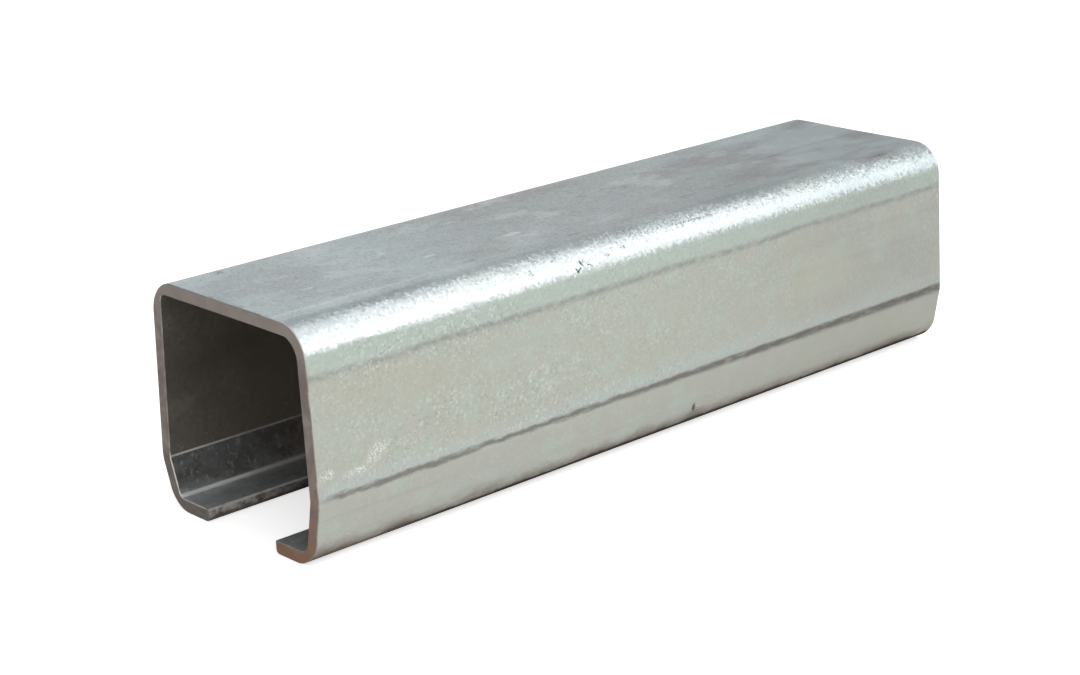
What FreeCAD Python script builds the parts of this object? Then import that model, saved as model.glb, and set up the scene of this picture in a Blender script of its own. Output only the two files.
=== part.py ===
"""Cantilever gate track: one length of roll-formed, zinc-coated steel C-section.

Frame: +X across the section, +Y along the track, +Z up. The origin is at the middle of the
length, level with the undersides of the two lips, midway between the flanks.
All sizes are in millimetres.
"""
import FreeCAD
import Part

import math
import os
from collections import namedtuple

# the section, over its outer faces
OVERALL_WIDTH = 95.0
OVERALL_HEIGHT = 88.0
SHEET = 5.0
WALL_SPLAY = 2.3
SLOT_WIDTH = 41.0

# the flanks lean inwards below a shallow bend, which the rolls left lower on the -X side
FLANK_HEIGHT_LEFT = 19.0
FLANK_HEIGHT_RIGHT = 25.0
FOOT_HALF_WIDTH_LEFT = 41.2
FOOT_HALF_WIDTH_RIGHT = 42.8

# each bend's radius outside and inside; the rolls set the -X side's bends tighter inside
Radii = namedtuple("Radii", "outside inside")
CORNER_LEFT = Radii(12.5, 3.0)
CORNER_RIGHT = Radii(13.0, 8.0)
FLANK_BEND = Radii(12.0, 5.0)
FOOT_LEFT = Radii(11.0, 2.5)
FOOT_RIGHT = Radii(13.0, 5.0)

# the slit edge of each lip is worn round below and only dulled above
SLIT_EDGE = Radii(1.8, 0.4)

# the piece is sawn square at both ends
TRACK_LENGTH = 340.0

Corner = namedtuple("Corner", "x z radii")
RoundedCorner = namedtuple("RoundedCorner", "point radius")


def wall_top_x(flank_height):
    """Distance from the middle to where a wall's outer line meets the top's."""
    rise = OVERALL_HEIGHT - flank_height
    return OVERALL_WIDTH / 2 - rise * math.tan(math.radians(WALL_SPLAY))


def outer_corners():
    """Sharp corners of the outer surface, clockwise from the left lip's slit edge to the right's."""
    half_slot = SLOT_WIDTH / 2
    half_width = OVERALL_WIDTH / 2
    return [
        Corner(-half_slot, 0, SLIT_EDGE),
        Corner(-FOOT_HALF_WIDTH_LEFT, 0, FOOT_LEFT),
        Corner(-half_width, FLANK_HEIGHT_LEFT, FLANK_BEND),
        Corner(-wall_top_x(FLANK_HEIGHT_LEFT), OVERALL_HEIGHT, CORNER_LEFT),
        Corner(wall_top_x(FLANK_HEIGHT_RIGHT), OVERALL_HEIGHT, CORNER_RIGHT),
        Corner(half_width, FLANK_HEIGHT_RIGHT, FLANK_BEND),
        Corner(FOOT_HALF_WIDTH_RIGHT, 0, FOOT_RIGHT),
        Corner(half_slot, 0, SLIT_EDGE),
    ]


def unit_vector(start, end):
    """Direction from one point to another."""
    return end.sub(start).normalize()


def inward_normals(points):
    """Direction into the section from each straight run of the outer surface."""
    normals = []
    for start, end in zip(points, points[1:]):
        along = unit_vector(start, end)
        normals.append(FreeCAD.Vector(along.z, 0, -along.x))
    return normals


def inner_points(points):
    """Sharp corners of the inner surface, one sheet in from the outer ones."""
    normals = inward_normals(points)
    before = normals[:1] + normals
    after = normals + normals[-1:]
    inner = []
    for point, first, second in zip(points, before, after):
        reach = (first + second) * (SHEET / (1 + first.dot(second)))
        inner.append(point + reach)
    return inner


def bend_arc(before, corner, after, radius):
    """Start, middle and end of the arc that rounds one corner of an outline."""
    back = unit_vector(corner, before)
    ahead = unit_vector(corner, after)
    half_angle = back.getAngle(ahead) / 2
    setback = radius / math.tan(half_angle)
    middle_distance = radius / math.sin(half_angle) - radius
    bisector = (back + ahead).normalize()
    return corner + back * setback, corner + bisector * middle_distance, corner + ahead * setback


def rounded_outline(corners):
    """Closed wire round the corners: straight runs joined by tangent arcs."""
    arcs = []
    for index, corner in enumerate(corners):
        before = corners[index - 1].point
        after = corners[(index + 1) % len(corners)].point
        arcs.append(bend_arc(before, corner.point, after, corner.radius))
    edges = []
    for index, (start, middle, end) in enumerate(arcs):
        previous_end = arcs[index - 1][2]
        edges.append(Part.LineSegment(previous_end, start).toShape())
        edges.append(Part.Arc(start, middle, end).toShape())
    return Part.Wire(edges)


def section_face(y):
    """The cut face of the bent strip at one place along the track."""
    corners = outer_corners()
    points = [FreeCAD.Vector(corner.x, y, corner.z) for corner in corners]
    outer = [RoundedCorner(point, corner.radii.outside) for point, corner in zip(points, corners)]
    inner = [RoundedCorner(point, corner.radii.inside) for point, corner in zip(inner_points(points), corners)]
    outline = outer + inner[::-1]
    return Part.Face(rounded_outline(outline))


def gate_track():
    """The whole track as one solid, sawn square at both ends."""
    face = section_face(-TRACK_LENGTH / 2)
    return face.extrude(FreeCAD.Vector(0, TRACK_LENGTH, 0))


def main():
    """Build the track, check it and write it out."""
    os.makedirs("parts", exist_ok=True)
    track = gate_track()
    if track.ShapeType != "Solid" or not track.isValid():
        raise ValueError("the track isn't one valid solid")
    box = track.BoundBox
    print("size %.2f x %.2f x %.2f mm" % (box.XLength, box.YLength, box.ZLength))
    print("volume %.0f mm3" % track.Volume)
    track.exportStep("parts/gate_track.step")


main()
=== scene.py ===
"""Looks for one length of cantilever gate track: a roll-formed, zinc-coated steel C-section.

The track's shape is drawn again from its section with the finer forms that the rolls, the slitter
and the saw leave. It is dressed in five finishes: the weathered zinc coat outside, the dull coat
inside, the bare sawn ends, the slit edges of the two lips and the broken edge round the ends.
Frame: +X across the section, +Y along the track, +Z up, in metres. The classes that draw the mesh
work in millimetres, as do the marks' places, and the finishes work in metres.
"""

import logging
import math
from dataclasses import dataclass, field
from enum import Enum, IntEnum
from functools import reduce
from typing import Sequence

import bmesh
import bpy
from bmesh.types import BMesh, BMFace, BMVert
from bpy.types import Material, Node, NodeSocket, Object
from mathutils import Matrix, Vector, noise


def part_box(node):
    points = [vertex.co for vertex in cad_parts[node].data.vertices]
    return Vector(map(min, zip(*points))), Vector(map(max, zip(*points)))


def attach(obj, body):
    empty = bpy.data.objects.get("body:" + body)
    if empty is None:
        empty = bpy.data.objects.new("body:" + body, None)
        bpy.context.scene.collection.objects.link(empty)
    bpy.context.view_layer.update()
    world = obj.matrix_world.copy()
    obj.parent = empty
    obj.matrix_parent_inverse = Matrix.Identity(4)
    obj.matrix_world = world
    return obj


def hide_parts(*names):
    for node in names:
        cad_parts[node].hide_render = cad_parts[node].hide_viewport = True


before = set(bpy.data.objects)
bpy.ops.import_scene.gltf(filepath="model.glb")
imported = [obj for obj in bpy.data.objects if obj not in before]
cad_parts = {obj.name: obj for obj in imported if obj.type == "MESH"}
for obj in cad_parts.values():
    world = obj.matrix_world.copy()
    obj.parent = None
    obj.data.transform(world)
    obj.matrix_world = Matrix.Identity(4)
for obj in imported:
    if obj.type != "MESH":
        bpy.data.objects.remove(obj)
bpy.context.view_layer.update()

LOG = logging.getLogger("gate_track")
MM = 0.001
Triple = tuple[float, float, float]
Colour = Triple
WHITE: Colour = (1.0, 1.0, 1.0)


def smooth_hump(value: float, centre: float, half_width: float) -> float:
    """Height of a rounded hump that is 1 at its centre and 0 from half_width outwards."""
    distance = min(abs(value - centre) / half_width, 1.0)
    return 0.5 + 0.5 * math.cos(math.pi * distance)


class Surface(IntEnum):
    """The finishes of the track, in the order of its material slots."""

    OUTSIDE = 0
    INSIDE = 1
    SAWN_END = 2
    SLIT_EDGE = 3
    RIM = 4


class MarkKind(Enum):
    """What a single mark on the coat is."""

    STAIN = "stain"
    SMUDGE = "smudge"
    SCUFF = "scuff"
    BLOOM = "bloom"
    SCRATCH = "scratch"


@dataclass(frozen=True)
class Mark:
    """One mark on the outer coat.

    Attributes:
        at: Its centre in millimetres.
        reach: Its half size along X, Y and Z in millimetres.
        turn: How far it is turned about X, in degrees.
    """

    at: Triple
    reach: Triple
    turn: float = 0.0


@dataclass(frozen=True)
class Bend:
    """One corner of the outer surface, with the radii and the steps that round it."""

    x: float
    z: float
    outside: float
    inside: float
    steps: int


@dataclass
class TrackSection:
    """The rolled section, over its outer faces, in millimetres."""

    overall_width: float = 95.0
    overall_height: float = 88.0
    sheet: float = 5.0
    wall_splay: float = 2.3
    slot_width: float = 41.0
    flank_height_left: float = 19.0
    flank_height_right: float = 25.0
    foot_half_width_left: float = 41.2
    foot_half_width_right: float = 42.8
    slit_lean_left: float = 1.2
    corner_reach: float = 12.0
    run_step: float = 1.2

    def wall_top_x(self, flank_height: float) -> float:
        """Distance from the middle to where the wall above one flank meets the top."""
        rise = self.overall_height - flank_height
        return self.overall_width / 2 - rise * math.tan(math.radians(self.wall_splay))

    def flat_half_width(self) -> float:
        """Half the width of the flat top, between its rounded corners."""
        return self.wall_top_x(self.flank_height_right) - self.corner_reach

    def bends(self) -> list[Bend]:
        """Lists the outer surface's corners, clockwise from the left slit edge to the right.

        Returns:
            The corners with their radii.
        """
        half_slot = self.slot_width / 2
        half_width = self.overall_width / 2
        left_top = self.wall_top_x(self.flank_height_left)
        right_top = self.wall_top_x(self.flank_height_right)
        return [
            Bend(-half_slot + self.slit_lean_left, 0, 2.2, 0.4, 6),
            Bend(-self.foot_half_width_left, 0, 11.0, 2.5, 14),
            Bend(-half_width, self.flank_height_left, 12.0, 5.0, 4),
            Bend(-left_top, self.overall_height, 12.5, 3.0, 20),
            Bend(right_top, self.overall_height, 13.0, 8.0, 24),
            Bend(half_width, self.flank_height_right, 12.0, 5.0, 4),
            Bend(self.foot_half_width_right, 0, 13.0, 5.0, 14),
            Bend(half_slot, 0, 1.8, 0.4, 5),
        ]

    def inner_points(self, points: Sequence[Vector]) -> list[Vector]:
        """Corners of the inner surface, one sheet in from the outer ones.

        Args:
            points: The outer corners, clockwise.

        Returns:
            The inner corners in the same order.
        """
        normals = []
        for start, end in zip(points, points[1:]):
            along = (end - start).normalized()
            normals.append(Vector((along.z, 0, -along.x)))
        before = normals[:1] + normals
        after = normals + normals[-1:]
        return [
            point + (first + second) * (self.sheet / (1 + first.dot(second)))
            for point, first, second in zip(points, before, after)
        ]

    def draw(self, mesh: BMesh, y: float) -> BMFace:
        """Draws the cut face, with its bends rounded and its straight runs divided.

        Args:
            mesh: The mesh to draw in.
            y: Where along the track the face stands, in millimetres.

        Returns:
            The face.
        """
        bends = self.bends()
        outer = [Vector((bend.x, y, bend.z)) for bend in bends]
        inner = self.inner_points(outer)
        inner[0].x -= self.slit_lean_left
        points = outer + inner[::-1]
        radii = [bend.outside for bend in bends] + [bend.inside for bend in reversed(bends)]
        steps = [bend.steps for bend in bends + bends[::-1]]
        corners = [mesh.verts.new(point) for point in points]
        mesh.faces.new(corners)
        mesh.normal_update()
        for index, corner in enumerate(corners):
            back = (points[index - 1] - points[index]).normalized()
            ahead = (points[(index + 1) % len(points)] - points[index]).normalized()
            setback = radii[index] / math.tan(back.angle(ahead) / 2)
            bmesh.ops.bevel(
                mesh, geom=[corner], offset=setback, offset_type="OFFSET", segments=steps[index],
                profile=0.5, affect="VERTICES", material=-1, clamp_overlap=False,
            )
        face = mesh.faces[:][0]
        for edge in list(mesh.edges):
            cuts = round(edge.calc_length() / self.run_step) - 1
            if cuts > 0:
                bmesh.ops.subdivide_edges(mesh, edges=[edge], cuts=cuts)
        return face


@dataclass
class RollWork:
    """The fine forms that rolling, slitting and handling leave in the sheet.

    Lengths are in millimetres. A pace is how fast a wave runs that way, against 1 across.
    """

    line_height: float = 70.2
    line_half_width: float = 1.5
    line_depth: float = 0.07
    band_height: float = 26.2
    band_half_width: float = 2.2
    band_depth: float = 0.10
    top_hollow: float = 0.15
    top_margin: float = 1.0
    wave: float = 0.05
    wave_length: float = 38.0
    wave_pace_along: float = 0.35
    slit_wander: float = 0.16
    slit_pace_along: float = 0.22
    slit_pace_up: float = 0.4

    def inward(self, point: Vector, top: float, half_width: float) -> float:
        """How far the rolls press the outer surface in at one point.

        Args:
            point: The point in millimetres.
            top: Height of the flat top.
            half_width: Half the width of the flat top.

        Returns:
            The distance in millimetres.
        """
        press = self.line_depth * smooth_hump(point.z, self.line_height, self.line_half_width)
        if point.x > 0:
            press += self.band_depth * smooth_hump(point.z, self.band_height, self.band_half_width)
        if point.z > top - self.top_margin:
            press += self.top_hollow * smooth_hump(point.x, 0.0, half_width)
        seed = Vector((point.x, point.y * self.wave_pace_along, point.z)) / self.wave_length
        return press + self.wave * (0.5 + 0.5 * noise.noise(seed))

    def slit_push(self, point: Vector) -> float:
        """How far the slitter strayed from its straight line at one point."""
        seed = Vector((point.x, point.y * self.slit_pace_along, point.z * self.slit_pace_up))
        return self.slit_wander * (0.5 + 0.5 * noise.noise(seed))


@dataclass
class GateTrack:
    """The track: one bent strip from end to end, in millimetres.

    Attributes:
        section: The rolled section.
        rolls: The fine forms pressed into it.
        length: Length over the sawn ends.
        rim: Width of the broken edge round each sawn end.
        row_step: Distance between the rows of the mesh along the track.
        end_facing: How squarely a sawn face looks along the track, from 0 to 1.
        slit_facing: How squarely a slit edge's face looks across the slot.
        slit_depth: How far from the slot a slit edge's faces may lie.
        slit_rise: How far above the sheet's thickness they may lie.
        bearing_height: Height up to which the undersides keep their plain form.
        crease: Angle in degrees from which an edge stays crisp.
    """

    section: TrackSection
    rolls: RollWork
    length: float
    rim: float = 0.3
    row_step: float = 3.0
    end_facing: float = 0.99
    slit_facing: float = 0.3
    slit_depth: float = 2.0
    slit_rise: float = 0.1
    bearing_height: float = 1.0
    crease: float = 28.0

    def build(self) -> Object:
        """Builds the track as a closed mesh, each face holding the index of its finish.

        Returns:
            The finished object, in metres.
        """
        mesh = bmesh.new()
        start = -self.length / 2 + self.rim
        face = self.section.draw(mesh, start)
        extruded = bmesh.ops.extrude_face_region(mesh, geom=[face])["geom"]
        moved = [item for item in extruded if isinstance(item, BMVert)]
        bmesh.ops.translate(mesh, verts=moved, vec=(0, self.length - 2 * self.rim, 0))
        self.divide_along(mesh)
        bmesh.ops.recalc_face_normals(mesh, faces=mesh.faces)
        self.break_ends(mesh)
        self.sort_surfaces(mesh)
        self.press_forms(mesh)
        bmesh.ops.triangulate(mesh, faces=self.end_faces(mesh), ngon_method="BEAUTY")
        self.shade(mesh)
        bmesh.ops.scale(mesh, vec=(MM, MM, MM), verts=mesh.verts)
        data = bpy.data.meshes.new("track_strip")
        mesh.to_mesh(data)
        mesh.free()
        track = bpy.data.objects.new("track_strip", data)
        bpy.context.scene.collection.objects.link(track)
        return track

    def divide_along(self, mesh: BMesh) -> None:
        """Divides the long edges into rows.

        Args:
            mesh: The extruded strip.
        """
        long_edges = [edge for edge in mesh.edges if edge.calc_length() > self.length / 2]
        rows = round(self.length / self.row_step)
        bmesh.ops.subdivide_edges(mesh, edges=long_edges, cuts=rows - 1, use_grid_fill=False)

    def end_faces(self, mesh: BMesh) -> list[BMFace]:
        """Finds the two sawn faces, the only ones that look along the track."""
        return [face for face in mesh.faces if abs(face.normal.y) > self.end_facing]

    def break_ends(self, mesh: BMesh) -> None:
        """Breaks the sharp edge round each sawn end and marks the narrow faces that this makes.

        Args:
            mesh: The divided strip.
        """
        ends = self.end_faces(mesh)
        made = bmesh.ops.inset_individual(
            mesh, faces=ends, thickness=self.rim, depth=self.rim, use_even_offset=True
        )
        for rim_face in made["faces"]:
            rim_face.material_index = Surface.RIM

    def sort_surfaces(self, mesh: BMesh) -> None:
        """Gives each face the slot of its finish.

        Args:
            mesh: The strip with its ends broken.
        """
        slit_reach = self.section.slot_width / 2 + self.slit_depth
        slit_top = self.section.sheet + self.slit_rise
        for face in mesh.faces:
            if face.material_index == Surface.RIM:
                continue
            centre = face.calc_center_median()
            inwards = Vector((-centre.x, 0, self.section.overall_height / 2 - centre.z))
            by_slot = abs(centre.x) < slit_reach and centre.z < slit_top
            if abs(face.normal.y) > self.end_facing:
                face.material_index = Surface.SAWN_END
            elif by_slot and -face.normal.x * centre.x > self.slit_facing * abs(centre.x):
                face.material_index = Surface.SLIT_EDGE
            elif face.normal.dot(inwards) > 0:
                face.material_index = Surface.INSIDE
            else:
                face.material_index = Surface.OUTSIDE

    def press_forms(self, mesh: BMesh) -> None:
        """Moves the outer surface and the slit edges by what the rolls and the slitter left.

        Args:
            mesh: The strip with its surfaces sorted.
        """
        top = self.section.overall_height
        half_width = self.section.flat_half_width()
        end = self.length / 2 - self.rim / 2
        moves = []
        for vert in mesh.verts:
            surfaces = {face.material_index for face in vert.link_faces}
            if abs(vert.co.y) >= end:
                continue
            if surfaces == {Surface.SLIT_EDGE}:
                push = math.copysign(self.rolls.slit_push(vert.co), vert.co.x)
                moves.append((vert, Vector((push, 0, 0))))
            elif surfaces <= {Surface.OUTSIDE, Surface.RIM} and vert.co.z > self.bearing_height:
                move = vert.normal * -self.rolls.inward(vert.co, top, half_width)
                moves.append((vert, Vector((move.x, 0, move.z))))
        for vert, move in moves:
            vert.co += move

    def shade(self, mesh: BMesh) -> None:
        """Shades the rolled faces smooth and keeps real edges crisp.

        Args:
            mesh: The finished strip.
        """
        mesh.normal_update()
        crease = math.radians(self.crease)
        for face in mesh.faces:
            face.smooth = face.material_index != Surface.SAWN_END
        for edge in mesh.edges:
            edge.smooth = edge.is_manifold and edge.calc_face_angle() < crease

    def dress(self, track: Object, finishes: "Sequence[Finish]") -> None:
        """Puts each finish in its slot and sets the track in place of the plain solid.

        Args:
            track: The built object.
            finishes: One finish for each surface, in the order of Surface.
        """
        for finish in finishes:
            track.data.materials.append(finish.material())
        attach(track, "root")
        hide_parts("gate_track")


class NodeBench:
    """A bench for laying out one material's nodes.

    Attributes:
        material: The material.
        surface: The input that its shader goes into.
        place: The object's own coordinates in metres.
        side: How far across the section a point is.
        along: How far along the track it is.
        height: How high on the track it is.
        colour: The base colour so far, which lay adds to.
    """

    def __init__(self, name: str, ground: Colour) -> None:
        """Starts a material with its ground colour.

        Args:
            name: Name of the material.
            ground: The colour that the first tone is laid over.
        """
        self.material: Material = bpy.data.materials.new(name)
        self.material.use_nodes = True
        self.tree = self.material.node_tree
        self.tree.nodes.clear()
        self.surface = self.add("ShaderNodeOutputMaterial").inputs["Surface"]
        self.place = self.add("ShaderNodeTexCoord").outputs["Object"]
        split = self.add("ShaderNodeSeparateXYZ", {0: self.place})
        self.side, self.along, self.height = split.outputs
        self.colour: object = ground

    def add(
        self, kind: str, feeds: dict[int | str, object] | None = None, **settings: object
    ) -> Node:
        """Adds a node, sets its options and feeds its inputs.

        Args:
            kind: The node's type.
            feeds: What goes into its inputs, by index or name.
            **settings: Its options by name.

        Returns:
            The node.
        """
        node = self.tree.nodes.new(kind)
        for name, value in settings.items():
            setattr(node, name, value)
        for key, value in (feeds or {}).items():
            self.feed(node.inputs[key], value)
        return node

    def feed(self, socket: NodeSocket, value: object) -> None:
        """Links a socket to another, or sets its value.

        Args:
            socket: The input to feed.
            value: An output socket, a number, a colour or a vector.
        """
        if isinstance(value, NodeSocket):
            self.tree.links.new(value, socket)
        elif socket.type == "RGBA":
            socket.default_value = (*value, 1.0)
        else:
            socket.default_value = value

    def calc(self, operation: str, first: object, second: object = 0.0) -> NodeSocket:
        """Does one arithmetic step with two numbers or outputs."""
        return self.add("ShaderNodeMath", {0: first, 1: second}, operation=operation).outputs[0]

    def times(self, *masks: object) -> object:
        """Multiplies masks, each an output or a number."""
        return reduce(lambda first, second: self.calc("MULTIPLY", first, second), masks)

    def any_of(self, *masks: NodeSocket) -> object:
        """Finds the strongest of some masks at each point, or 0 if there are none."""
        return reduce(lambda first, second: self.calc("MAXIMUM", first, second), masks, 0.0)

    def between(
        self, value: object, low: object, high: object, to_low: float = 0.0, to_high: float = 1.0
    ) -> NodeSocket:
        """Maps a range smoothly onto another and holds it there.

        Args:
            value: What is mapped.
            low: Where the range starts.
            high: Where it ends.
            to_low: What low becomes.
            to_high: What high becomes.

        Returns:
            The mapped value.
        """
        feeds = {"Value": value, "From Min": low, "From Max": high, "To Min": to_low, "To Max": to_high}
        return self.add("ShaderNodeMapRange", feeds, interpolation_type="SMOOTHSTEP").outputs[0]

    def stripe(self, value: NodeSocket, centre: float, half_width: float, soft: float) -> NodeSocket:
        """Masks a stripe of a coordinate, with an edge as wide as soft says."""
        offset = self.calc("ABSOLUTE", self.calc("SUBTRACT", value, centre))
        return self.between(offset, half_width + soft / 2, half_width - soft / 2)

    def cloud(
        self, across: float, along: float, detail: float = 3.0, rough: float = 0.55, up: float = 0.0
    ) -> NodeSocket:
        """Makes soft noise from 0 to 1.

        Args:
            across: Pattern units in a metre across the section.
            along: Pattern units in a metre along the track.
            detail: How many finer layers it has.
            rough: How strong the finer layers are.
            up: Pattern units in a metre of height, if not as many as across.

        Returns:
            The noise.
        """
        scale = (across, along, up or across)
        stretched = self.add("ShaderNodeMapping", {"Vector": self.place, "Scale": scale})
        feeds = {"Vector": stretched.outputs[0], "Scale": 1.0, "Detail": detail, "Roughness": rough}
        return self.add("ShaderNodeTexNoise", feeds).outputs["Fac"]

    def shaken(self, value: NodeSocket, reach: float, cloud: NodeSocket) -> NodeSocket:
        """Moves a coordinate up to reach either way by a cloud, so that what follows it wanders."""
        return self.calc("ADD", value, self.between(cloud, 0.3, 0.7, -reach, reach))

    def crystals(self, per_metre: float) -> NodeSocket:
        """Gives each small crystal of the coat a random colour."""
        feeds = {"Vector": self.place, "Scale": per_metre}
        return self.add("ShaderNodeTexVoronoi", feeds).outputs["Color"]

    def facets(self, per_metre: float, tilt: float) -> NodeSocket:
        """Makes a normal that leans a little differently on each small crystal.

        Args:
            per_metre: How many crystals lie along a metre.
            tilt: How far they lean, as the length added to the normal.

        Returns:
            The normal.
        """
        normal = self.add("ShaderNodeNewGeometry").outputs["Normal"]
        result = self.crystals(per_metre)
        for operation, feeds in (
            ("SUBTRACT", {1: (0.5, 0.5, 0.5)}),
            ("SCALE", {"Scale": tilt}),
            ("ADD", {1: normal}),
            ("NORMALIZE", {}),
        ):
            step = self.add("ShaderNodeVectorMath", {0: result, **feeds}, operation=operation)
            result = step.outputs[0]
        return result

    def relief(self, height: NodeSocket, depth: float, below: object = None) -> NodeSocket:
        """Turns a pattern of heights into fine relief for the shader's normal.

        Args:
            height: The pattern, from 0 to 1.
            depth: Height of the pattern in metres.
            below: A normal that this relief lies on, if any.

        Returns:
            The normal.
        """
        node = self.add("ShaderNodeBump", {"Strength": 1.0, "Distance": depth, "Height": height})
        if below is not None:
            self.feed(node.inputs["Normal"], below)
        return node.outputs[0]

    def spot(self, mark: Mark) -> NodeSocket:
        """Makes a mask that is 1 at a mark's centre and fades at its reach.

        Args:
            mark: The mark.

        Returns:
            The mask.
        """
        feeds = {
            "Vector": self.place,
            "Location": Vector(mark.at) * MM,
            "Rotation": (math.radians(mark.turn), 0.0, 0.0),
            "Scale": Vector(mark.reach) * MM,
        }
        own_place = self.add("ShaderNodeMapping", feeds, vector_type="TEXTURE").outputs[0]
        length = self.add("ShaderNodeVectorMath", {0: own_place}, operation="LENGTH")
        return self.between(length.outputs["Value"], 1.0, 0.35)

    def lay(self, tone: Colour, *masks: object) -> None:
        """Lays a tone over the colour so far where all the masks allow it."""
        feeds = {0: self.times(*masks), 6: self.colour, 7: tone}
        self.colour = self.add("ShaderNodeMix", feeds, data_type="RGBA").outputs[2]

    def mottle(
        self, tone: Colour, cloud: Sequence[float], spread: Sequence[float], *masks: object
    ) -> None:
        """Lays a tone where a cloud is dense, given what cloud takes and what between adds."""
        self.lay(tone, self.between(self.cloud(*cloud), *spread), *masks)

    def finish(
        self, roughness: object, metallic: object, normal: NodeSocket, specular: object = 0.5
    ) -> None:
        """Closes the material with one shader that shows the colour so far.

        Args:
            roughness: Roughness.
            metallic: How metallic the surface is.
            normal: The normal with its relief.
            specular: How strongly the part that isn't metallic shines.
        """
        feeds = {
            "Base Color": self.colour,
            "Roughness": roughness,
            "Metallic": metallic,
            "Specular IOR Level": specular,
            "Normal": normal,
        }
        self.feed(self.surface, self.add("ShaderNodeBsdfPrincipled", feeds).outputs[0])


@dataclass(frozen=True)
class Finish:
    """A finish that can make its own material, laid over one ground tone."""

    name: str
    tone: Colour
    metallic: float
    roughness: float

    def material(self) -> Material:
        """Makes the finish's material.

        Returns:
            The material.
        """
        bench = NodeBench(self.name, self.tone)
        self.paint(bench)
        return bench.material

    def paint(self, bench: NodeBench) -> None:
        """Lays out all of the material's nodes."""
        raise NotImplementedError


@dataclass(frozen=True)
class ZincCoat(Finish):
    """The weathered zinc coat outside, with crystals, roll marks, stains, scuffs and painted light and
    shade.

    Its ground colour is the flanks'. Heights and places are in metres.
    """

    name: str = "zinc_outside"
    tone: Colour = (0.58, 0.585, 0.54)
    metallic: float = 0.85
    roughness: float = 0.34
    top_tone: Colour = (0.47, 0.53, 0.54)
    top_brown: Colour = (0.335, 0.325, 0.32)
    bend_tone: Colour = (0.60, 0.64, 0.65)
    green_tone: Colour = (0.575, 0.65, 0.585)
    wall_tone: Colour = (0.57, 0.59, 0.52)
    tan_tone: Colour = (0.57, 0.56, 0.465)
    rosy_tone: Colour = (0.61, 0.585, 0.535)
    blue_tone: Colour = (0.59, 0.635, 0.60)
    pale_tone: Colour = (0.88, 0.93, 0.91)
    dark_tone: Colour = (0.30, 0.31, 0.30)
    # burnish and painted shade of the right flank's kink
    burnish_and_shade_tone: Colour = (0.20, 0.185, 0.165)
    # the feet's stain and grime, both darkened as painted shade of the feet's downward bends
    rust_tone: Colour = (0.24, 0.155, 0.105)
    grime_and_shade_tone: Colour = (0.055, 0.042, 0.033)
    grime_and_shade_metallic: float = 0.10
    smudge_tone: Colour = (0.17, 0.16, 0.15)
    bloom_tone: Colour = (0.95, 0.97, 0.95)
    scratch_tone: Colour = (0.055, 0.045, 0.04)
    crystals_per_metre: float = 1050.0
    crystal_tilt: float = 0.17
    grain_depth: float = 0.00003
    roll_line_height: float = 0.0703
    marks: dict[MarkKind, tuple[Mark, ...]] = field(default_factory=dict)

    def paint(self, bench: NodeBench) -> None:
        """Lays the coat out: its tones, then what the rolls, the wet and handling left, and painted
        light and shade.

        Args:
            bench: The node bench.
        """
        grain = bench.cloud(2600.0, 2600.0, 2.0)
        self.zones(bench)
        self.patches(bench)
        self.sparkle(bench)
        self.roll_line(bench)
        self.flank_band(bench)
        self.foot_stain_and_shade(bench)
        self.single_marks(bench, grain)
        roughness = bench.between(grain, 0.3, 0.7, self.roughness - 0.05, self.roughness + 0.07)
        facets = bench.facets(self.crystals_per_metre, self.crystal_tilt)
        # below 4 mm the coat is dull and barely metallic, so the painted shade along the feet stays
        # dark
        above_grime_and_shade = bench.between(bench.height, 0.0040, 0.0056)
        metallic = bench.between(above_grime_and_shade, 0.0, 1.0, self.grime_and_shade_metallic, self.metallic)
        normal = bench.relief(grain, self.grain_depth, facets)
        bench.finish(roughness, metallic, normal, bench.times(above_grime_and_shade, 0.5))

    def zones(self, bench: NodeBench) -> None:
        """Sets the coat's tones from the foot to the top in strips burnished by the rolls, with painted
        highlight and shade on the bend.

        Args:
            bench: The node bench.
        """
        level = bench.shaken(bench.height, 0.0008, bench.cloud(160.0, 60.0))
        for low, high, tone in (
            (0.0235, 0.0285, self.blue_tone),
            (0.0290, 0.0370, self.wall_tone),
            (0.0695, 0.0725, self.green_tone),
            (0.0772, 0.0802, self.bend_tone),
        ):
            bench.lay(tone, bench.between(level, low, high))
        # painted highlight: a pale strip under the bend's highlight near the end widens it
        near = bench.between(bench.along, -0.02, -0.13, 0.0, 0.85)
        bench.lay(self.pale_tone, bench.stripe(level, 0.0799, 0.0019, 0.0014), near)
        # painted shade: the top's tone over the bend's highlight at the far end dims it
        far = bench.between(bench.along, 0.02, 0.13, 0.0, 0.75)
        bench.lay(self.top_tone, bench.stripe(level, 0.0825, 0.0035, 0.0020), far)
        bench.lay(self.top_tone, bench.between(level, 0.0845, 0.0875))

    def patches(self, bench: NodeBench) -> None:
        """Adds broad weathering: tan and bluish clouds, brown smears and streaks, and painted shade far
        off.

        Args:
            bench: The node bench.
        """
        on_top = bench.between(bench.height, 0.0855, 0.0875)
        on_wall = bench.stripe(bench.height, 0.0500, 0.0190, 0.0060)
        below_line = bench.between(bench.height, 0.0720, 0.0680)
        more_far = bench.between(bench.along, -0.14, 0.02, 0.45, 1.0)
        midway = bench.stripe(bench.along, 0.008, 0.080, 0.090)
        bench.mottle(self.tan_tone, (22.0, 16.0, 4.0, 0.6, 26.0), (0.44, 0.66, 0.0, 0.55), on_wall)
        bench.mottle(self.blue_tone, (55.0, 30.0, 4.0, 0.6), (0.50, 0.70, 0.0, 0.50))
        for scale, tone in ((130.0, self.rosy_tone), (105.0, self.green_tone)):
            bench.mottle(tone, (scale, scale * 0.7, 4.0, 0.6), (0.50, 0.66, 0.0, 0.60), below_line)
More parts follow.
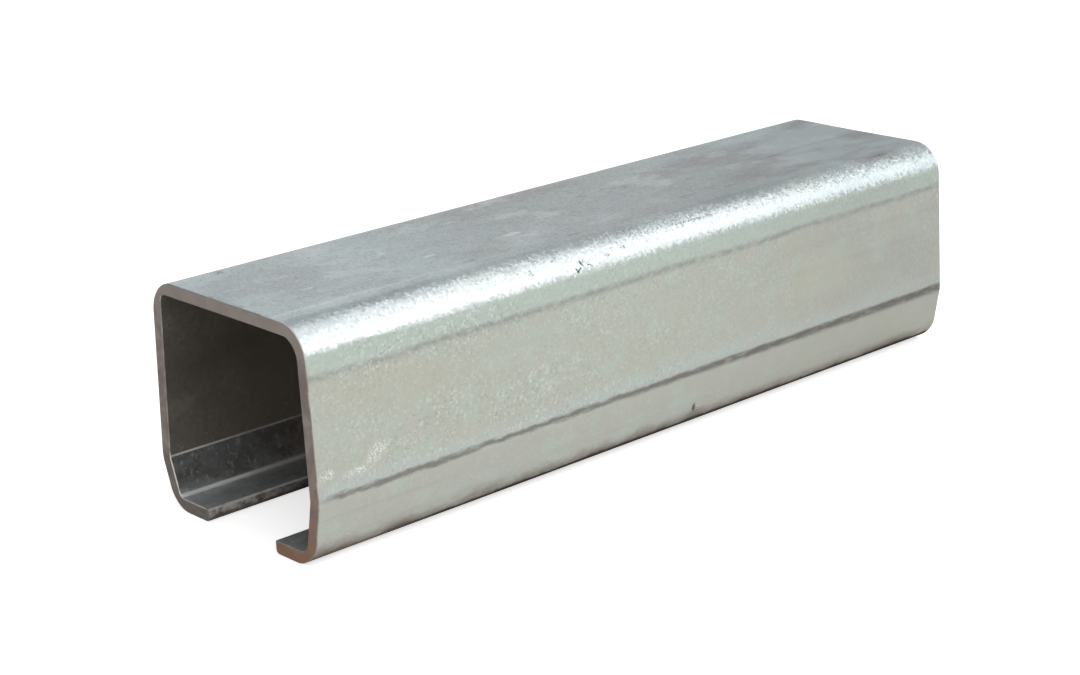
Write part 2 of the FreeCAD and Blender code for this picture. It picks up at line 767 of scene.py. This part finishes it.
        # the top: darker midway, with brown smears, light patches and fine streaks
        bench.lay(self.dark_tone, midway, on_top, 0.54)
        bench.mottle(self.top_brown, (46.0, 18.0, 5.0, 0.58), (0.45, 0.63, 0.0, 0.85), more_far, on_top)
        bench.mottle(self.bend_tone, (60.0, 34.0, 4.0, 0.55), (0.52, 0.68, 0.0, 0.55), on_top)
        bench.mottle(self.dark_tone, (520.0, 16.0), (0.52, 0.75, 0.0, 0.20), on_top)
        self.top_streaks(bench, on_top)
        # everywhere: faint lengthwise streaks; at the far end the wall and flank browner, partly a tint
        # and partly painted shade
        bench.mottle(self.dark_tone, (300.0, 6.0, 2.0), (0.56, 0.74, 0.0, 0.10))
        far = bench.between(bench.along, -0.03, 0.16, 0.0, 0.36)
        below_bend = bench.between(bench.height, 0.0800, 0.0760)
        bench.mottle(self.top_brown, (40.0, 22.0, 4.0, 0.6), (0.30, 0.70, 0.55, 1.0), far, below_bend)
        bench.lay(self.tan_tone, far, bench.between(bench.height, 0.0260, 0.0190))

    def top_streaks(self, bench: NodeBench, on_top: NodeSocket) -> None:
        """Adds lengthwise streaks on the top: pale and dark rubs near, a dark one far, and painted
        light midway.

        Args:
            bench: The node bench.
            on_top: Mask of the top.
        """
        across = bench.shaken(bench.side, 0.0015, bench.cloud(20.0, 12.0))
        near = bench.between(bench.along, -0.03, -0.13)
        far = bench.between(bench.along, 0.06, 0.11)
        midway = bench.stripe(bench.along, -0.035, 0.075, 0.050)
        for centre, half_width, tone, part, share in (
            (0.0275, 0.0008, self.pale_tone, near, 0.30),
            (0.0335, 0.0010, self.dark_tone, near, 0.22),
            (0.0022, 0.0005, self.dark_tone, far, 0.55),
            # painted light: a pale strip midway by the bend lightens the shade beside its highlight
            (0.0352, 0.0018, self.bend_tone, midway, 0.42),
        ):
            bench.lay(tone, bench.stripe(across, centre, half_width, 0.0030), part, on_top, share)

    def sparkle(self, bench: NodeBench) -> None:
        """Adds crystals that are paler or darker than their neighbours, thicker in clusters.

        Args:
            bench: The node bench.
        """
        tints = bench.crystals(self.crystals_per_metre)
        crystals = bench.add("ShaderNodeSeparateColor", {0: tints}).outputs[0]
        fine = bench.cloud(1500.0, 1100.0, 3.0, 0.7)
        clusters = bench.between(bench.cloud(30.0, 17.0, 3.0, 0.6), 0.34, 0.64, 0.30, 1.0)
        low = bench.between(bench.height, 0.0240, 0.0300, 0.22, 1.0)
        far = bench.between(bench.along, 0.02, 0.14, 1.0, 0.50)
        calm = bench.times(low, far, bench.between(bench.height, 0.0872, 0.0878, 1.0, 0.55))
        bench.lay(self.pale_tone, bench.between(crystals, 0.72, 1.0, 0.0, 0.42), clusters, calm)
        bench.lay(self.dark_tone, bench.between(crystals, 0.22, 0.0, 0.0, 0.34), clusters, calm)
        uneven = bench.between(bench.cloud(85.0, 60.0, 4.0, 0.65), 0.38, 0.62, 0.30, 1.25)
        bench.lay(self.pale_tone, bench.between(fine, 0.58, 0.72, 0.0, 0.42), calm, uneven)
        bench.lay(self.dark_tone, bench.between(fine, 0.42, 0.28, 0.0, 0.24))
        bend = bench.stripe(bench.height, 0.0850, 0.0020, 0.0030)
        worn = bench.between(bench.along, -0.15, -0.06, 0.15, 1.0)
        bench.mottle(self.dark_tone, (900.0, 480.0, 2.0, 0.6), (0.57, 0.68, 0.0, 0.75), bend, worn)

    def roll_line(self, bench: NodeBench) -> None:
        """Adds the thin dark line along the rolls' crease on each wall, under the top bend: painted
        shade.

        Args:
            bench: The node bench.
        """
        level = bench.shaken(bench.height, 0.0006, bench.cloud(5.0, 24.0, 4.0))
        line = bench.stripe(level, self.roll_line_height, 0.0010, 0.0022)
        broken = ((420.0, 190.0, 5.0, 0.72), (0.36, 0.60, 0.25, 1.0))
        # painted shade in the crease, broken up unevenly
        bench.mottle(self.dark_tone, *broken, line, 0.66)

    def flank_band(self, bench: NodeBench) -> None:
        """Adds the dark band on the right flank's bend, wider towards the far end: burnish and painted
        shade of the kink.

        Args:
            bench: The node bench.
        """
        ragged = bench.between(bench.cloud(300.0, 120.0, 4.0, 0.65), 0.2, 0.8, -0.0008, 0.0008)
        steadier = bench.between(bench.along, -0.10, 0.08, 1.0, 0.35)
        level = bench.calc("ADD", bench.height, bench.times(ragged, steadier))
        low = bench.between(bench.along, -0.08, 0.17, 0.0243, 0.0224)
        core = bench.between(bench.along, -0.08, 0.17, 0.0260, 0.0250)
        band = bench.times(
            bench.between(level, low, core),
            bench.between(level, 0.0280, 0.0265),
            bench.between(bench.along, -0.08, 0.08, 0.82, 1.0),
            bench.between(bench.along, -0.1695, -0.1600, 0.30, 1.0),
            bench.between(bench.side, 0.0, 0.01),
        )
        # uneven mottling of the band's burnish and painted shade
        worn = ((520.0, 110.0, 5.0, 0.7), (0.32, 0.52, 0.62, 1.0))
        bench.mottle(self.burnish_and_shade_tone, *worn, band, 0.97)

    def foot_stain_and_shade(self, bench: NodeBench) -> None:
        """Adds the brown stain and grime along the feet, where the track stands in the wet, with
        painted shade.

        Args:
            bench: The node bench.
        """
        uneven = bench.between(bench.cloud(90.0, 60.0, 5.0, 0.7), 0.3, 0.7, -0.0022, 0.0022)
        stain = bench.between(bench.calc("ADD", bench.height, uneven), 0.0108, 0.0020)
        # partly a brown stain, partly painted shade of the foot facing down
        bench.lay(self.rust_tone, stain, 0.75)
        near = bench.between(bench.along, -0.165, -0.100, 0.45, 0.97)
        level = bench.calc("ADD", bench.height, bench.times(uneven, 0.35))
        # painted shade of the foot bend's underside, stronger near the end, with brown grime
        bench.lay(self.grime_and_shade_tone, bench.between(level, 0.0055, 0.0040), near)

    def single_marks(self, bench: NodeBench, grain: NodeSocket) -> None:
        """Lays the single marks over the coat, kind by kind.

        Args:
            bench: The node bench.
            grain: Fine noise that breaks the scratches up.
        """
        shreds = bench.cloud(2800.0, 1100.0, 3.0, 0.65)
        whole = bench.between(bench.cloud(200.0, 200.0, 4.0, 0.6), 0.25, 0.60, 0.35, 1.0)
        flecks = bench.between(bench.cloud(1500.0, 1500.0, 3.0, 0.7), 0.46, 0.60)
        looks = {
            MarkKind.STAIN: (self.tan_tone, bench.times(whole, 0.55)),
            MarkKind.SMUDGE: (self.smudge_tone, bench.between(shreds, 0.50, 0.56)),
            MarkKind.SCUFF: (self.pale_tone, bench.between(shreds, 0.38, 0.60, 0.0, 0.65)),
            MarkKind.BLOOM: (self.bloom_tone, bench.times(whole, flecks)),
            MarkKind.SCRATCH: (self.scratch_tone, bench.between(grain, 0.36, 0.50, 0.45, 1.0)),
        }
        for kind, (tone, texture) in looks.items():
            spots = [bench.spot(mark) for mark in self.marks.get(kind, ())]
            bench.lay(tone, bench.any_of(*spots), texture)


@dataclass(frozen=True)
class DullCoat(Finish):
    """The coat inside: dull, darkened by the rolls' oily film and painted shade, with painted
    highlights on the bends, dusty low down.

    Its ground colour is the lips'. Heights and places are in metres.
    """

    name: str = "zinc_inside"
    tone: Colour = (0.64, 0.68, 0.70)
    metallic: float = 0.80
    roughness: float = 0.40
    # painted shade, with oil: the flanks and walls darker than the lips inside the channel
    flank_tone: Colour = (0.35, 0.37, 0.375)
    oil_and_shade_tone: Colour = (0.30, 0.27, 0.235)
    brown_tone: Colour = (0.56, 0.46, 0.38)
    dark_tone: Colour = (0.16, 0.145, 0.125)
    # pale tone of the rubs and of the painted highlights on the bends
    wear_and_highlight_tone: Colour = (0.95, 0.96, 0.95)
    dust_tone: Colour = (0.85, 0.85, 0.82)
    flank_bend: float = 0.0199
    foot_bend: float = 0.0056
    # how much less metallic the painted highlights are, so they catch the light inside
    highlight_matt: float = 0.53
    dust_depth: float = 0.00006
    crystals_per_metre: float = 600.0
    crystal_tilt: float = 0.12

    def paint(self, bench: NodeBench) -> None:
        """Lays the dull coat out: its tones, then the rubs, the painted highlights on the bends and the
        dust.

        Args:
            bench: The node bench.
        """
        blotches = bench.cloud(60.0, 30.0, 4.0, 0.6)
        dust = bench.cloud(1000.0, 1000.0, 2.0, 0.6)
        self.oil_and_shade(bench)
        self.rubs(bench)
        lines = self.painted_bend_highlights(bench, blotches)
        # painted highlight: pale lines along the left flank's bends
        bench.lay(self.wear_and_highlight_tone, lines)
        low_down = bench.between(bench.height, 0.045, 0.010, 0.15, 1.0)
        bench.lay(self.dust_tone, bench.between(dust, 0.68, 0.74), low_down)
        roughness = bench.between(blotches, 0.3, 0.7, self.roughness - 0.08, self.roughness + 0.08)
        metallic = bench.calc("SUBTRACT", self.metallic, bench.times(lines, self.highlight_matt))
        facets = bench.facets(self.crystals_per_metre, self.crystal_tilt)
        bench.finish(roughness, metallic, bench.relief(dust, self.dust_depth, facets))

    def oil_and_shade(self, bench: NodeBench) -> None:
        """Sets the tones of the lips, flanks and walls, darker higher up as painted shade, with oily
        streaks and dark stains.

        Args:
            bench: The node bench.
        """
        bend = self.flank_bend
        # painted shade: the flanks and walls darker than the lips, deeper into the channel
        bench.lay(self.flank_tone, bench.between(bench.height, 0.0055, 0.0110))
        bench.lay(self.oil_and_shade_tone, bench.between(bench.height, bend - 0.0004, bend + 0.0004))
        bench.mottle(self.oil_and_shade_tone, (380.0, 8.0), (0.52, 0.80, 0.0, 0.45))
        share = bench.between(bench.height, 0.0050, 0.0080, 0.25, 0.52)
        bench.lay(self.brown_tone, bench.between(bench.along, -0.165, -0.060), share)
        below_bend = bench.between(bench.height, bend + 0.0002, bend - 0.0002)
        bench.mottle(self.dark_tone, (110.0, 60.0, 5.0, 0.65), (0.46, 0.60), below_bend, share)

    def rubs(self, bench: NodeBench) -> None:
        """Adds short rubs across the flanks and lips, where carriages and hands reach in.

        Args:
            bench: The node bench.
        """
        low_down = bench.between(bench.height, 0.0215, 0.0170, 0.08, 1.0)
        near = bench.between(bench.along, -0.08, -0.16, 0.10, 1.0)
        strokes = ((420.0, 420.0, 5.0, 0.72, 260.0), (0.54, 0.66, 0.0, 0.60))
        bench.mottle(self.wear_and_highlight_tone, *strokes, low_down, near)

    def painted_bend_highlights(self, bench: NodeBench, blotches: NodeSocket) -> object:
        """Masks the painted highlights along the left flank's two bends, which fade further in.

        Args:
            bench: The node bench.
            blotches: Noise that wears them unevenly.

        Returns:
            The mask.
        """
        thin = bench.stripe(bench.height, self.flank_bend, 0.0003, 0.0008)
        firm = bench.stripe(bench.height, self.foot_bend, 0.0005, 0.0005)
        fading = bench.between(bench.along, -0.165, -0.060, 1.0, 0.30)
        left = bench.between(bench.side, -0.0358, -0.0366)
        # uneven strength of the painted highlights
        worn = bench.between(blotches, 0.25, 0.65, 0.75, 1.0)
        return bench.times(bench.any_of(thin, firm), fading, left, worn)


@dataclass(frozen=True)
class SawnSteel(Finish):
    """Bare steel at the sawn ends, gone brown, with rust setting in on one side low down."""

    name: str = "sawn_end"
    tone: Colour = (0.22, 0.172, 0.148)
    metallic: float = 0.25
    roughness: float = 0.62
    pale_tone: Colour = (0.335, 0.28, 0.25)
    dark_tone: Colour = (0.10, 0.08, 0.06)
    rust_tone: Colour = (0.32, 0.15, 0.075)
    rust_top: float = 0.034
    rust_share: float = 0.72
    saw_depth: float = 0.00002
    pitting_depth: float = 0.00005

    def paint(self, bench: NodeBench) -> None:
        """Lays the bare steel out: its ground, then the dark and the rusty side.

        Args:
            bench: The node bench.
        """
        blotches = bench.cloud(170.0, 60.0, 5.0, 0.65)
        self.ground(bench, blotches)
        left = bench.between(bench.side, 0.0, -0.03)
        bench.lay(self.dark_tone, left, bench.between(bench.height, 0.030, 0.012), 0.45)
        level = bench.shaken(bench.height, -0.014, blotches)
        rusty = bench.between(level, self.rust_top, 0.004, 0.0, self.rust_share)
        bench.lay(self.rust_tone, rusty, bench.between(bench.side, 0.005, 0.025))
        sawn = bench.relief(bench.cloud(260.0, 40.0, 2.0, up=2600.0), self.saw_depth)
        pitted = bench.relief(bench.cloud(900.0, 900.0), self.pitting_depth, sawn)
        bench.finish(self.roughness, self.metallic, pitted)

    def ground(self, bench: NodeBench, blotches: NodeSocket) -> None:
        """Sets the steel's tone under the rust, blotched and paler towards the top."""
        bench.lay(self.pale_tone, bench.between(blotches, 0.36, 0.66))
        bench.lay(self.pale_tone, bench.between(bench.height, 0.066, 0.086, 0.0, 0.75))


@dataclass(frozen=True)
class SlitSteel(SawnSteel):
    """The slit edges of the lips: bare, dark, with the burr along the upper corner painted as a
    highlight.
    """

    name: str = "slit_edge"
    tone: Colour = (0.065, 0.055, 0.048)
    pale_tone: Colour = (0.14, 0.125, 0.115)
    burr_highlight_tone: Colour = (0.98, 0.97, 0.95)
    near_end_light_tone: Colour = (0.80, 0.745, 0.70)
    under_shade_tone: Colour = (0.03, 0.026, 0.024)
    rust_share: float = 0.30

    def ground(self, bench: NodeBench, blotches: NodeSocket) -> None:
        """Sets the steel's tone: mottled, with painted light towards the near end, painted shade
        underneath and a painted highlight on the burr.

        Args:
            bench: The node bench.
            blotches: Noise for its uneven tone.
        """
        super().ground(bench, blotches)
        near = bench.between(bench.along, -0.100, -0.160)
        # painted light: paler, mottled towards the near end, where the worn tip rounds into the end
        # face
        bench.mottle(self.near_end_light_tone, (420.0, 210.0, 5.0, 0.7), (0.36, 0.62, 0.10, 1.0), near)
        # painted shade: black on the underside of the slit edge
        bench.lay(self.under_shade_tone, bench.between(bench.height, 0.0030, 0.0008, 0.0, 0.85))
        # painted highlight along the burr on the upper corner
        burr = bench.stripe(bench.height, 0.0047, 0.0005, 0.0003)
        bench.mottle(self.burr_highlight_tone, (700.0, 90.0, 4.0, 0.7), (0.34, 0.56, 0.35, 1.0), burr)


@dataclass(frozen=True)
class BrokenEdge(Finish):
    """The narrow broken edge round the sawn ends, bright where the saw left it fresh, with painted
    highlights.
    """

    name: str = "broken_edge"
    tone: Colour = (0.27, 0.225, 0.20)
    metallic: float = 0.6
    roughness: float = 0.40
    # fresh bare steel, and the painted highlights
    fresh_and_highlight_tone: Colour = (0.95, 0.93, 0.91)
    grain_depth: float = 0.00003

    def paint(self, bench: NodeBench) -> None:
        """Lays the broken edge out: fresh in patches, with painted highlights by the left flank and the
        right corner.

        Args:
            bench: The node bench.
        """
        fresh = bench.between(bench.cloud(140.0, 140.0, 4.0, 0.7), 0.42, 0.68, 0.0, 0.34)
        # painted highlight on the edge by the left flank
        flank = bench.times(
            bench.between(bench.height, 0.0225, 0.0190),
            bench.between(bench.height, 0.0045, 0.0065, 0.40, 1.0),
            bench.between(bench.side, -0.0205, -0.0240),
            bench.between(bench.cloud(420.0, 420.0, 3.0, 0.7), 0.30, 0.50, 0.45, 1.0),
        )
        # painted highlight on the top right corner
        to_right = bench.between(bench.side, 0.010, 0.034)
        corner = bench.times(to_right, bench.between(bench.height, 0.066, 0.080), 0.60)
        off_slit = bench.between(bench.calc("ABSOLUTE", bench.side), 0.0208, 0.0218)
        bench.lay(self.fresh_and_highlight_tone, bench.any_of(fresh, flank, corner), off_slit)
        normal = bench.relief(bench.cloud(1800.0, 1800.0, 2.0), self.grain_depth)
        bench.finish(self.roughness, self.metallic, normal)


@dataclass(frozen=True)
class SoftBox:
    """One rectangular studio light, hung towards one direction from the track.

    Its distance, width and height are in metres and its power is in watts.
    """

    name: str
    towards: Triple
    distance: float
    size: tuple[float, float]
    power: float
    colour: Colour = WHITE

    def hang(self, target: Vector) -> None:
        """Hangs the light so that it looks at the target.

        Args:
            target: Where it looks, in metres.
        """
        data = bpy.data.lights.new(self.name, "AREA")
        data.shape = "RECTANGLE"
        data.size, data.size_y = self.size
        data.energy = self.power
        data.color = self.colour
        light = bpy.data.objects.new(self.name, data)
        direction = Vector(self.towards).normalized()
        light.location = target + direction * self.distance
        light.rotation_euler = direction.to_track_quat("Z", "Y").to_euler()
        bpy.context.scene.collection.objects.link(light)


@dataclass(frozen=True)
class Studio:
    """Plain pale floor, soft lights and a white surround."""

    floor_tone: Colour = (0.80, 0.80, 0.79)
    floor_glow: float = 0.66
    floor_size: float = 12.0
    surround: Colour = (0.97, 1.0, 1.02)
    surround_level: float = 0.54
    lights: tuple[SoftBox, ...] = (
        SoftBox("key", (0.56, 0.62, 0.545), 1.6, (1.3, 1.25), 8.0),
        SoftBox("upper", (0.02, 0.45, 0.89), 1.5, (0.8, 0.8), 2.2),
        SoftBox("left", (-0.95, 0.22, 0.26), 1.3, (1.8, 0.5), 1.3, (0.97, 1.0, 1.0)),
        SoftBox("near", (0.66, -0.36, 0.58), 0.8, (0.4, 0.4), 1.9, (1.0, 0.99, 0.96)),
    )

    def floor(self) -> None:
        """Lays the floor."""
        mesh = bmesh.new()
        bmesh.ops.create_grid(mesh, x_segments=1, y_segments=1, size=self.floor_size / 2)
        data = bpy.data.meshes.new("floor")
        mesh.to_mesh(data)
        mesh.free()
        data.materials.append(self.floor_material())
        floor = bpy.data.objects.new("floor", data)
        bpy.context.scene.collection.objects.link(floor)

    def floor_material(self) -> Material:
        """Makes a matt floor that looks white and still takes the track's shadow.

        Returns:
            The material.
        """
        bench = NodeBench("floor", self.floor_tone)
        matt = bench.add("ShaderNodeBsdfDiffuse", {"Color": bench.colour})
        seen = bench.add("ShaderNodeLightPath").outputs["Is Camera Ray"]
        strength = bench.times(seen, self.floor_glow)
        glow = bench.add("ShaderNodeEmission", {"Color": WHITE, "Strength": strength})
        both = bench.add("ShaderNodeAddShader", {0: matt.outputs[0], 1: glow.outputs[0]})
        bench.feed(bench.surface, both.outputs[0])
        return bench.material

    def world(self) -> None:
        """Sets a soft grey surround that the camera sees as white."""
        world = bpy.data.worlds.new("surround")
        bpy.context.scene.world = world
        world.use_nodes = True
        nodes = world.node_tree.nodes
        links = world.node_tree.links
        nodes.clear()
        output = nodes.new("ShaderNodeOutputWorld")
        seen = nodes.new("ShaderNodeLightPath")
        choice = nodes.new("ShaderNodeMixShader")
        links.new(seen.outputs["Is Camera Ray"], choice.inputs[0])
        looks = ((self.surround, self.surround_level), (WHITE, 1.0))
        for socket, (tone, level) in zip(choice.inputs[1:], looks):
            glow = nodes.new("ShaderNodeBackground")
            glow.inputs["Color"].default_value = (*tone, 1.0)
            glow.inputs["Strength"].default_value = level
            links.new(glow.outputs[0], socket)
        links.new(choice.outputs[0], output.inputs["Surface"])

    def set_up(self, target: Vector) -> None:
        """Builds the whole studio.

        Args:
            target: Where the lights look, in metres.
        """
        self.floor()
        self.world()
        for light in self.lights:
            light.hang(target)


@dataclass(frozen=True)
class ViewPoint:
    """Where the photograph was taken from.

    Attributes:
        place: The camera's place in millimetres.
        yaw: How far it is turned to the left of looking along +Y, in degrees.
        pitch: How far it looks down, in degrees.
        roll: How far it leans, in degrees.
        lens: Focal length in millimetres.
        sensor: Width of its sensor in millimetres.
    """

    place: Triple = (628.2, -593.8, 316.2)
    yaw: float = 47.74
    pitch: float = 18.08
    roll: float = -1.93
    lens: float = 75.7
    sensor: float = 36.0

    def set_up(self) -> None:
        """Makes this the scene's camera."""
        data = bpy.data.cameras.new("photo_view")
        data.sensor_width = self.sensor
        data.lens = self.lens
        camera = bpy.data.objects.new("photo_view", data)
        turn = (
            Matrix.Rotation(math.radians(self.yaw), 4, "Z")
            @ Matrix.Rotation(math.radians(90.0 - self.pitch), 4, "X")
            @ Matrix.Rotation(math.radians(self.roll), 4, "Z")
        )
        camera.matrix_world = Matrix.Translation(Vector(self.place) * MM) @ turn
        bpy.context.scene.collection.objects.link(camera)
        bpy.context.scene.camera = camera


TRACK_MARKS = {
    MarkKind.STAIN: (
        Mark((46.5, -128.0, 58.0), (4.0, 42.0, 13.0)),
        Mark((46.5, 92.0, 48.0), (4.0, 30.0, 12.0)),
    ),
    MarkKind.SMUDGE: (
        Mark((-31.6, -149.8, 88.0), (3.4, 2.6, 2.0)),
        Mark((44.0, -39.5, 82.2), (3.0, 5.0, 1.6)),
        Mark((43.5, -27.0, 82.2), (3.0, 3.0, 1.0)),
        Mark((43.0, -18.0, 83.0), (3.0, 3.0, 1.0)),
        Mark((42.5, -65.0, 83.3), (3.0, 2.4, 2.2)),
        Mark((41.0, 20.0, 85.0), (3.0, 16.0, 0.5)),
        Mark((45.0, 18.0, 7.5), (4.0, 4.5, 3.0)),
        Mark((28.7, -30.0, 88.0), (1.4, 4.5, 2.0)),
        Mark((21.7, 38.7, 88.0), (1.6, 6.0, 2.0)),
        Mark((23.5, 61.0, 88.0), (1.4, 5.0, 2.0)),
        Mark((3.3, 60.0, 88.0), (1.4, 4.5, 2.0)),
        Mark((2.5, 111.0, 88.0), (1.6, 5.5, 2.0)),
        Mark((-10.6, 11.0, 88.0), (1.4, 4.0, 2.0)),
        Mark((26.0, -80.0, 88.0), (1.4, 4.5, 2.0)),
        Mark((36.0, 142.0, 87.7), (1.2, 8.0, 2.0)),
    ),
    MarkKind.SCUFF: (
        Mark((8.6, -140.0, 88.0), (1.2, 3.6, 2.0)),
        Mark((9.5, -85.0, 88.0), (1.4, 4.2, 2.0)),
        Mark((10.3, -45.0, 88.0), (2.6, 6.0, 2.0)),
        Mark((-6.3, -95.0, 88.0), (1.0, 2.6, 2.0)),
        Mark((-20.0, -50.5, 88.0), (0.9, 2.6, 2.0)),
    ),
    MarkKind.BLOOM: (
        Mark((47.0, -143.5, 37.5), (3.0, 8.5, 4.2), 28.0),
        Mark((47.2, -152.5, 33.0), (3.0, 8.0, 2.2)),
        Mark((47.2, -165.5, 35.0), (3.0, 4.5, 2.8)),
        Mark((48.9, -62.0, 40.5), (3.0, 12.0, 6.0), 8.0),
    ),
    MarkKind.SCRATCH: (
        Mark((-32.4, -149.2, 88.0), (1.2, 0.9, 2.0)),
        Mark((45.0, -43.9, 80.1), (3.0, 1.2, 0.5), -52.0),
        Mark((45.0, -42.3, 80.0), (3.0, 1.7, 0.45), 28.0),
        Mark((43.6, -40.9, 81.8), (3.0, 1.9, 0.6), -60.0),
        Mark((45.0, -43.4, 79.4), (3.0, 1.1, 0.75), 20.0),
        Mark((44.0, -37.8, 80.7), (3.0, 1.0, 0.35), 6.0),
        Mark((44.0, -36.5, 80.2), (3.0, 1.1, 0.4), -42.0),
        Mark((45.0, 17.0, 10.0), (2.0, 1.3, 2.6)),
    ),
}


def main() -> None:
    """Builds and dresses the track, then sets the studio and the camera round it."""
    logging.basicConfig(level=logging.INFO, format="%(name)s: %(message)s")
    low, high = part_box("gate_track")
    section = TrackSection(overall_height=(high.z - low.z) / MM)
    track = GateTrack(section, RollWork(), length=(high.y - low.y) / MM)
    strip = track.build()
    finishes = (
        ZincCoat(marks=TRACK_MARKS),
        DullCoat(),
        SawnSteel(),
        SlitSteel(),
        BrokenEdge(),
    )
    track.dress(strip, finishes)
    LOG.info("%s: %d faces", strip.name, len(strip.data.polygons))
    Studio().set_up((low + high) / 2)
    ViewPoint().set_up()
    scene = bpy.context.scene
    scene.view_settings.view_transform = "Standard"
    LOG.info("boxes written")


if __name__ == "__main__":
    main()
